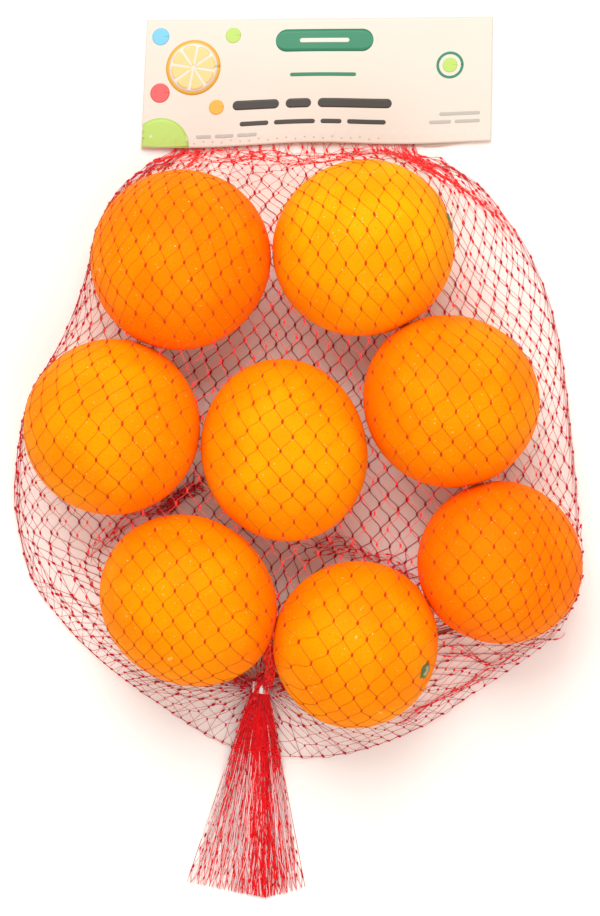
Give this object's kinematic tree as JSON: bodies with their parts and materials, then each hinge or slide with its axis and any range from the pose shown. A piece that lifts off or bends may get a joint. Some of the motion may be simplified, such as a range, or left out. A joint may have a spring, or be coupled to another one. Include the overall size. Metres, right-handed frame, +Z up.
{
  "type": "net of oranges",
  "caption": "Filled mesh bag of loose round oranges lying flat, with a folded paper header at the top and a gathered, clipped tail at the bottom.",
  "frame": {"origin": "on the table, under the middle of the whole pack", "axes": "+X to the right and +Y towards the header label, as the pack is seen from above, +Z up"},
  "size_m": [0.2557, 0.3962, 0.0781],
  "materials": {
    "net_mesh": "thin, slightly clear red plastic thread with welded knots",
    "orange_peel": "waxy citrus peel with fine oil pores",
    "orange_stem": "dry green-brown stem button",
    "label_paper": "cream film-coated paper with a printed fruit design",
    "clip_metal": "bright crimped wire"
  },
  "bodies": {
    "root": {"net": "net_mesh", "header_label": "label_paper", "clip": "clip_metal"}
  },
  "joints": []
}
